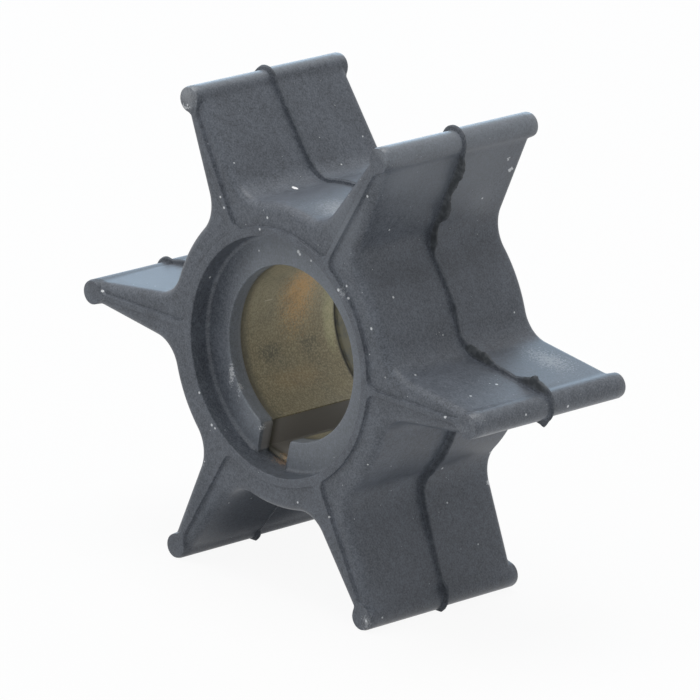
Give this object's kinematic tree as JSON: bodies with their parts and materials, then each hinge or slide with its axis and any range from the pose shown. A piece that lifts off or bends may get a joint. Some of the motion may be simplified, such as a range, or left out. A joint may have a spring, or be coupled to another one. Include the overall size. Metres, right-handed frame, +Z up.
{
  "type": "rubber pump impeller",
  "caption": "Flexible rubber impeller with bead-tipped radial blades and a keyed brass sleeve bonded in its hub, to drive an outboard water pump.",
  "frame": {"origin": "centre of the bore, half way between the two faces", "axes": "+Y along the shaft from the front face to the back face, +Z up with the wheel standing on two blade tips"},
  "size_m": [0.0574, 0.0208, 0.05],
  "materials": {
    "rubber": "matt moulded rubber, dark blue-grey",
    "brass": "dull turned brass, stained"
  },
  "bodies": {
    "root": {"rubber_body": "rubber", "brass_insert": "brass"}
  },
  "joints": []
}
